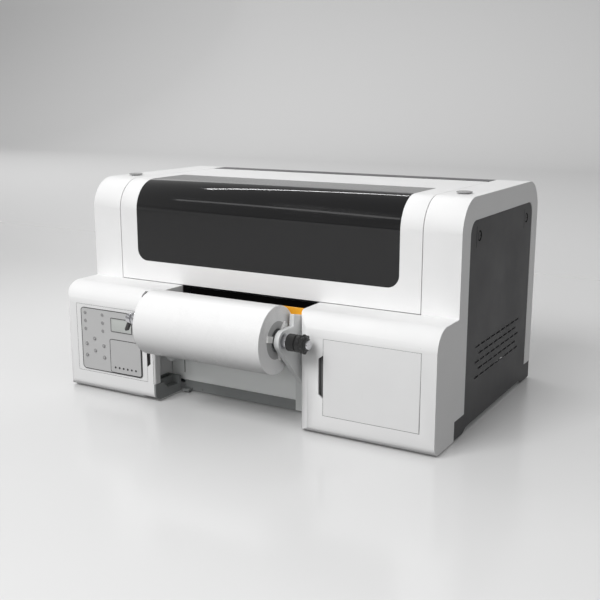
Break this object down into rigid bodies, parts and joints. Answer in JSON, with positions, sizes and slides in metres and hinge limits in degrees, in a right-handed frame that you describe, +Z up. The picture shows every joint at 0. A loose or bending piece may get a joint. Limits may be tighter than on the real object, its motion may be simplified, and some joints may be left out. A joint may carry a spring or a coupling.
{
  "type": "desktop roll-fed uv printer",
  "caption": "Desktop UV film printer with a lifting smoked-window hood, front film roll on a media shaft, ink door, control panel and moving print carriage.",
  "frame": {"origin": "on the floor, at the centre of the machine's footprint with the film roll in place", "axes": "+Z up, -Y towards the front where the film roll is, +X to the right seen from the front"},
  "size_m": [1, 0.7714, 0.5282],
  "materials": {
    "frame_grey": "powder coat",
    "shell_white": "satin",
    "panel_dark": "fine texture",
    "cover_dark": "fine texture",
    "pad_rubber": "matt",
    "bay_grey": "satin",
    "rail_dark": "satin",
    "sheet_white": "satin",
    "tray_grey": "moulded",
    "guide_amber": "gloss",
    "liner_black": "matt",
    "platen_aluminium": "anodised",
    "beam_aluminium": "anodised",
    "station_grey": "moulded",
    "bottle_plastic": "translucent",
    "tray_steel": "zinc plated",
    "socket_black": "moulded",
    "switch_red": "gloss",
    "fan_black": "moulded",
    "pull_grey": "moulded",
    "pin_steel": "ground",
    "hinge_dark": "satin",
    "window_smoked": "gloss",
    "door_white": "satin",
    "control_grey": "satin",
    "lcd_grey": "gloss",
    "touch_grey": "satin",
    "lamp_grey": "gloss",
    "key_grey": "satin",
    "button_grey": "knurled",
    "arm_white": "satin",
    "bearing_steel": "ground",
    "shaft_steel": "ground",
    "core_grey": "matt",
    "film_white": "semi gloss",
    "chuck_dark": "satin",
    "jaw_white": "satin",
    "knob_black": "satin",
    "carriage_dark": "moulded",
    "head_steel": "ground",
    "motor_black": "satin",
    "belt_rubber": "matt",
    "pulley_aluminium": "machined",
    "feed_rubber": "matt",
    "pinch_rubber": "matt"
  },
  "bodies": {
    "machine": {"base_frame": "frame_grey", "left_casing": "shell_white", "right_casing": "shell_white", "left_pod": "shell_white", "right_pod": "shell_white", "side_panels": "panel_dark", "rear_cover": "cover_dark", "foot_pads": "pad_rubber", "bay_panel": "bay_grey", "base_rail": "rail_dark", "bay_flange": "sheet_white", "film_guide": "guide_amber", "slot_tray": "liner_black", "platen": "platen_aluminium", "gantry_beam": "beam_aluminium", "capping_station": "station_grey", "ink_bottles": "bottle_plastic", "electronics": "tray_steel", "power_inlet": "socket_black", "fan_frame": "fan_black", "door_pulls": "pull_grey", "hinge_pins": "pin_steel", "body_hinge_leaves": "hinge_dark", "control_cover": "door_white", "control_plate": "control_grey", "lcd": "lcd_grey", "touch_panel": "touch_grey", "status_lamps": "lamp_grey", "shaft_arms": "arm_white", "shaft_bearings": "bearing_steel", "carriage_motor": "motor_black", "drive_belt": "belt_rubber"},
    "hood_lid": {"hood": "shell_white", "hood_window": "window_smoked", "hood_hinge_leaves": "hinge_dark"},
    "ink_door": {"right_door": "door_white"},
    "roll": {"media_shaft": "shaft_steel", "roll_core": "core_grey", "film_roll": "film_white", "chucks": "chuck_dark", "chuck_jaws": "jaw_white", "shaft_knob": "knob_black"},
    "lever": {"shaft_lever": "hinge_dark"},
    "print_carriage": {"carriage": "carriage_dark", "print_heads": "head_steel"},
    "pulley_left": {"drive_pulley": "pulley_aluminium"},
    "pulley_right": {"idler_pulley": "pulley_aluminium"},
    "feed": {"feed_roller": "feed_rubber"},
    "pinch": {"pinch_rollers": "pinch_rubber"},
    "fan": {"fan_rotor": "fan_black"},
    "switch": {"power_switch": "switch_red"},
    "button_left": {"left_roof_button": "button_grey"},
    "button_right": {"right_roof_button": "button_grey"},
    "waste_drawer": {"waste_tray": "tray_grey"},
    "key_cap_1": {"key_1": "key_grey"},
    "key_cap_2": {"key_2": "key_grey"},
    "key_cap_3": {"key_3": "key_grey"},
    "key_cap_4": {"key_4": "key_grey"},
    "key_cap_5": {"key_5": "key_grey"},
    "key_cap_6": {"key_6": "key_grey"}
  },
  "joints": [
    {"name": "hood_hinge", "type": "hinge", "parent": "machine", "child": "hood_lid", "pos_m": [0, 0.25675, 0.519], "axis": [-1, 0, 0], "range_deg": [0, 75]},
    {"name": "ink_door_hinge", "type": "hinge", "parent": "machine", "child": "ink_door", "pos_m": [0.4636, -0.27225, 0.136], "axis": [0, 0, 1], "range_deg": [0, 100]},
    {"name": "roll_spin", "type": "hinge", "parent": "machine", "child": "roll", "pos_m": [0, -0.30975, 0.2155], "axis": [1, 0, 0], "continuous": true},
    {"name": "shaft_lever_pivot", "type": "hinge", "parent": "roll", "child": "lever", "pos_m": [-0.259, -0.30975, 0.2155], "axis": [0, 1, 0], "range_deg": [0, 65]},
    {"name": "carriage_slide", "type": "slide", "parent": "machine", "child": "print_carriage", "axis": [-1, 0, 0], "range_m": [0, 0.56]},
    {"name": "drive_pulley_spin", "type": "hinge", "parent": "machine", "child": "pulley_left", "pos_m": [-0.385, 0.09775, 0.407], "axis": [0, 0, 1], "continuous": true},
    {"name": "idler_pulley_spin", "type": "hinge", "parent": "machine", "child": "pulley_right", "pos_m": [0.385, 0.09775, 0.407], "axis": [0, 0, 1], "continuous": true},
    {"name": "feed_roller_spin", "type": "hinge", "parent": "machine", "child": "feed", "pos_m": [0, 0.02075, 0.256], "axis": [1, 0, 0], "continuous": true},
    {"name": "pinch_roller_spin", "type": "hinge", "parent": "machine", "child": "pinch", "pos_m": [0, 0.02075, 0.2722], "axis": [1, 0, 0], "continuous": true},
    {"name": "fan_spin", "type": "hinge", "parent": "machine", "child": "fan", "pos_m": [0, 0.36875, 0.33], "axis": [0, 1, 0], "continuous": true},
    {"name": "power_rocker", "type": "hinge", "parent": "machine", "child": "switch", "pos_m": [-0.283, 0.37575, 0.09], "axis": [1, 0, 0], "range_deg": [0, 16]},
    {"name": "left_button_press", "type": "slide", "parent": "machine", "child": "button_left", "axis": [0, 0, -1], "range_m": [0, 0.0018], "stiffness_N_per_m": 900, "springref_m": -0.001},
    {"name": "right_button_press", "type": "slide", "parent": "machine", "child": "button_right", "axis": [0, 0, -1], "range_m": [0, 0.0018], "stiffness_N_per_m": 900, "springref_m": -0.001},
    {"name": "waste_tray_slide", "type": "slide", "parent": "machine", "child": "waste_drawer", "axis": [1, 0, 0], "range_m": [0, 0.035]},
    {"name": "key_1_press", "type": "slide", "parent": "machine", "child": "key_cap_1", "axis": [0, 1, 0], "range_m": [0, 0.0008], "stiffness_N_per_m": 500, "springref_m": -0.0005},
    {"name": "key_2_press", "type": "slide", "parent": "machine", "child": "key_cap_2", "axis": [0, 1, 0], "range_m": [0, 0.0008], "stiffness_N_per_m": 500, "springref_m": -0.0005},
    {"name": "key_3_press", "type": "slide", "parent": "machine", "child": "key_cap_3", "axis": [0, 1, 0], "range_m": [0, 0.0008], "stiffness_N_per_m": 500, "springref_m": -0.0005},
    {"name": "key_4_press", "type": "slide", "parent": "machine", "child": "key_cap_4", "axis": [0, 1, 0], "range_m": [0, 0.0008], "stiffness_N_per_m": 500, "springref_m": -0.0005},
    {"name": "key_5_press", "type": "slide", "parent": "machine", "child": "key_cap_5", "axis": [0, 1, 0], "range_m": [0, 0.0008], "stiffness_N_per_m": 500, "springref_m": -0.0005},
    {"name": "key_6_press", "type": "slide", "parent": "machine", "child": "key_cap_6", "axis": [0, 1, 0], "range_m": [0, 0.0008], "stiffness_N_per_m": 500, "springref_m": -0.0005}
  ],
  "couplings": [
    {"joint": "drive_pulley_spin", "follows": "carriage_slide", "rad_per_m": -83.682},
    {"joint": "idler_pulley_spin", "follows": "carriage_slide", "rad_per_m": -83.682},
    {"joint": "pinch_roller_spin", "follows": "feed_roller_spin", "ratio": -1.6667}
  ]
}
